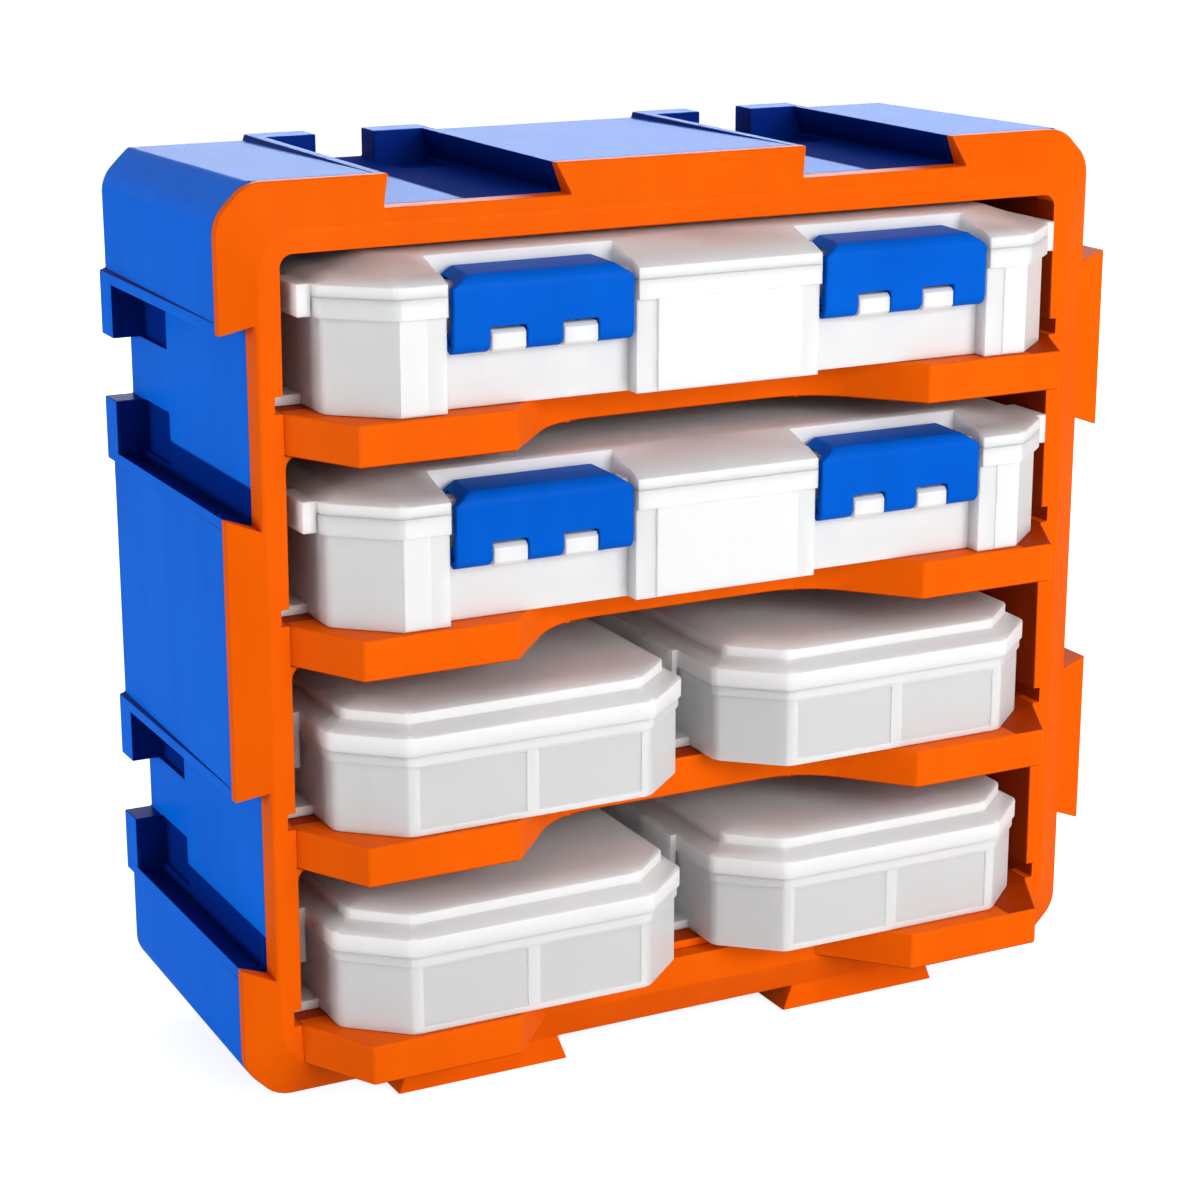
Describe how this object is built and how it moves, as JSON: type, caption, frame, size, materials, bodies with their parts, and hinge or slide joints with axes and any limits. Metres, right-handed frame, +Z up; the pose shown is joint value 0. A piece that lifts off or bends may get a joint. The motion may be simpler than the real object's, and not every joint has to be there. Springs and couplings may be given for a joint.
{
  "type": "tool drawer cabinet",
  "caption": "Modular tool drawer cabinet: blue dovetailed shell, orange rack with finger-recess shelves, and clear lidded cases that slide out, the wide ones with blue latches.",
  "frame": {"origin": "middle of the bounding box in plan, on the plane of the bottom keys' tips", "axes": "+X to the right seen from the front, +Y to the rear, +Z up; the cases slide out along -Y"},
  "size_m": [0.3084, 0.139, 0.2885],
  "materials": {
    "blue_plastic": "satin moulded",
    "orange_plastic": "satin moulded",
    "clear_plastic": "frosted translucent",
    "steel": "bright drawn"
  },
  "bodies": {
    "cabinet": {"rear_shell": "blue_plastic", "front_bezel": "orange_plastic", "left_side_panel": "orange_plastic", "right_side_panel": "orange_plastic", "back_panel": "orange_plastic", "floor_shelf": "orange_plastic", "lower_shelf": "orange_plastic", "middle_shelf": "orange_plastic", "upper_shelf": "orange_plastic", "frame_screws": "steel"},
    "top_case": {"top_tray": "clear_plastic", "top_lid": "clear_plastic", "top_dividers": "clear_plastic", "top_latch_pins": "steel", "top_hinge_pins": "steel"},
    "top_latch_left_body": {"top_latch_left": "blue_plastic"},
    "top_latch_right_body": {"top_latch_right": "blue_plastic"},
    "second_case": {"second_tray": "clear_plastic", "second_lid": "clear_plastic", "second_dividers": "clear_plastic", "second_latch_pins": "steel", "second_hinge_pins": "steel"},
    "second_latch_left_body": {"second_latch_left": "blue_plastic"},
    "second_latch_right_body": {"second_latch_right": "blue_plastic"},
    "third_left_case": {"third_left_tray": "clear_plastic", "third_left_lid": "clear_plastic", "third_left_divider": "clear_plastic"},
    "third_right_case": {"third_right_tray": "clear_plastic", "third_right_lid": "clear_plastic", "third_right_divider": "clear_plastic"},
    "fourth_left_case": {"fourth_left_tray": "clear_plastic", "fourth_left_lid": "clear_plastic", "fourth_left_divider": "clear_plastic"},
    "fourth_right_case": {"fourth_right_tray": "clear_plastic", "fourth_right_lid": "clear_plastic", "fourth_right_divider": "clear_plastic"}
  },
  "joints": [
    {"name": "top_slide", "type": "slide", "parent": "cabinet", "child": "top_case", "axis": [0, -1, 0], "range_m": [0, 0.1]},
    {"name": "top_latch_left_hinge", "type": "hinge", "parent": "top_case", "child": "top_latch_left_body", "pos_m": [-0.06595, -0.066, 0.24305], "axis": [1, 0, 0], "range_deg": [0, 110]},
    {"name": "top_latch_right_hinge", "type": "hinge", "parent": "top_case", "child": "top_latch_right_body", "pos_m": [0.05745, -0.066, 0.24305], "axis": [1, 0, 0], "range_deg": [0, 110]},
    {"name": "second_slide", "type": "slide", "parent": "cabinet", "child": "second_case", "axis": [0, -1, 0], "range_m": [0, 0.1]},
    {"name": "second_latch_left_hinge", "type": "hinge", "parent": "second_case", "child": "second_latch_left_body", "pos_m": [-0.06595, -0.066, 0.1798], "axis": [1, 0, 0], "range_deg": [0, 110]},
    {"name": "second_latch_right_hinge", "type": "hinge", "parent": "second_case", "child": "second_latch_right_body", "pos_m": [0.05745, -0.066, 0.1798], "axis": [1, 0, 0], "range_deg": [0, 110]},
    {"name": "third_left_slide", "type": "slide", "parent": "cabinet", "child": "third_left_case", "axis": [0, -1, 0], "range_m": [0, 0.1]},
    {"name": "third_right_slide", "type": "slide", "parent": "cabinet", "child": "third_right_case", "axis": [0, -1, 0], "range_m": [0, 0.1]},
    {"name": "fourth_left_slide", "type": "slide", "parent": "cabinet", "child": "fourth_left_case", "axis": [0, -1, 0], "range_m": [0, 0.1]},
    {"name": "fourth_right_slide", "type": "slide", "parent": "cabinet", "child": "fourth_right_case", "axis": [0, -1, 0], "range_m": [0, 0.1]}
  ]
}
